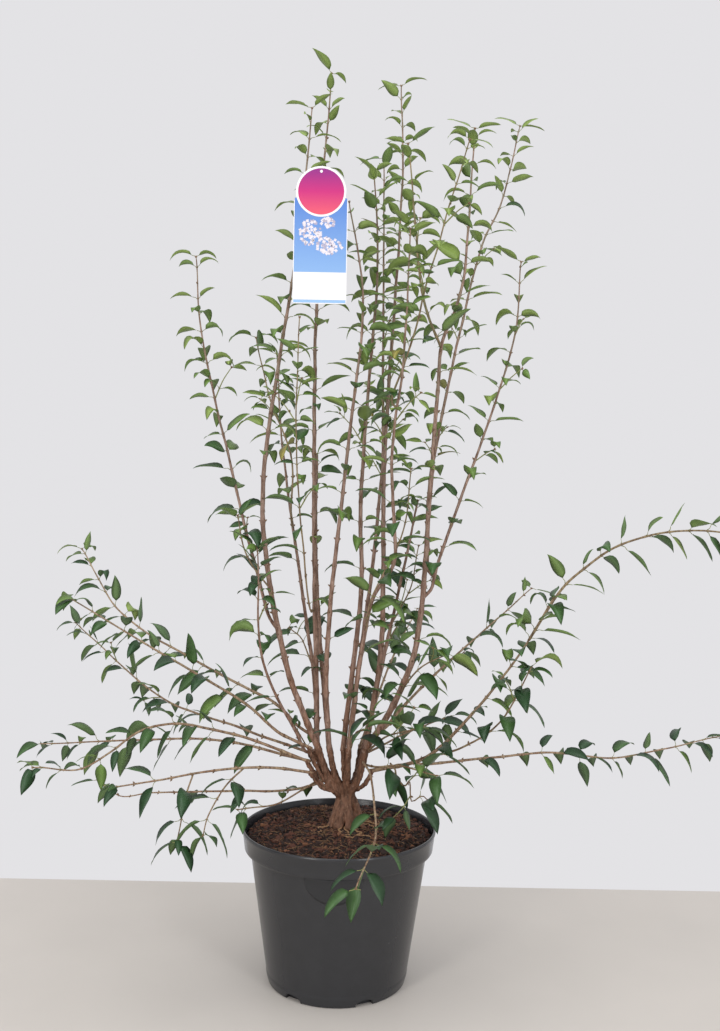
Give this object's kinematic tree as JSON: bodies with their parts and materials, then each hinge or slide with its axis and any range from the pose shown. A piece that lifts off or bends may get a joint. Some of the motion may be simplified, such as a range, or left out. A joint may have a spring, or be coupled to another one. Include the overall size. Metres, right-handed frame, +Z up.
{
  "type": "potted lilac shrub",
  "caption": "Young multi-stemmed lilac shrub in leaf: upright stems and arching side boughs rise from a woody root crown in a round nursery pot, with a hanging plant tag.",
  "frame": {"origin": "centre of the pot's flat underside, which stands on the floor", "axes": "+Z up the plant, -Y towards the side seen in the picture, +X to the right of that view"},
  "size_m": [1.2172, 0.6869, 1.495],
  "materials": {
    "pot_plastic": "moulded black plastic, half gloss",
    "potting_soil": "loose moist bark and fibre potting mix",
    "crown_bark": "rough flaking woody bark",
    "bark": "smooth young red-brown bark with pale specks",
    "foliage": "thin green leaves, slightly glossy above",
    "tag_card": "printed plastic card",
    "tag_strap": "thin white plastic strap"
  },
  "bodies": {
    "root": {"pot": "pot_plastic", "soil": "potting_soil", "root_crown": "crown_bark", "stem_left_thick": "bark", "stem_left_outer": "bark", "stem_left_low": "bark", "stem_left_fork": "bark", "stem_tallest": "bark", "stem_behind_tag": "bark", "stem_front": "bark", "stem_middle": "bark", "stem_back": "bark", "stem_centre_tall": "bark", "stem_front_right": "bark", "stem_right_thin": "bark", "stem_right_thick": "bark", "stem_right_back": "bark", "stem_right_outer": "bark", "side_left_high": "bark", "side_left_middle": "bark", "side_left_back": "bark", "side_left_front": "bark", "side_left_long": "bark", "side_left_low": "bark", "side_left_bare": "bark", "side_right_back": "bark", "side_right_arc": "bark", "side_right_low": "bark", "side_back": "bark", "side_front": "bark", "leaves_stem_left_thick": "foliage", "leaves_stem_left_outer": "foliage", "leaves_stem_left_low": "foliage", "leaves_stem_left_fork": "foliage", "leaves_stem_tallest": "foliage", "leaves_stem_front": "foliage", "leaves_stem_middle": "foliage", "leaves_stem_back": "foliage", "leaves_stem_centre_tall": "foliage", "leaves_stem_front_right": "foliage", "leaves_stem_right_thick": "foliage", "leaves_stem_right_back": "foliage", "leaves_stem_right_outer": "foliage", "leaves_side_left_high": "foliage", "leaves_side_left_middle": "foliage", "leaves_side_left_back": "foliage", "leaves_side_left_front": "foliage", "leaves_side_left_long": "foliage", "leaves_side_right_back": "foliage", "leaves_side_right_arc": "foliage", "leaves_side_right_low": "foliage", "leaves_side_back": "foliage", "leaves_side_front": "foliage", "leaves_fork_left": "foliage", "leaves_arc_outer": "foliage", "leaves_low_right": "foliage", "plant_tag": "tag_card", "tag_tie": "tag_strap"}
  },
  "joints": []
}
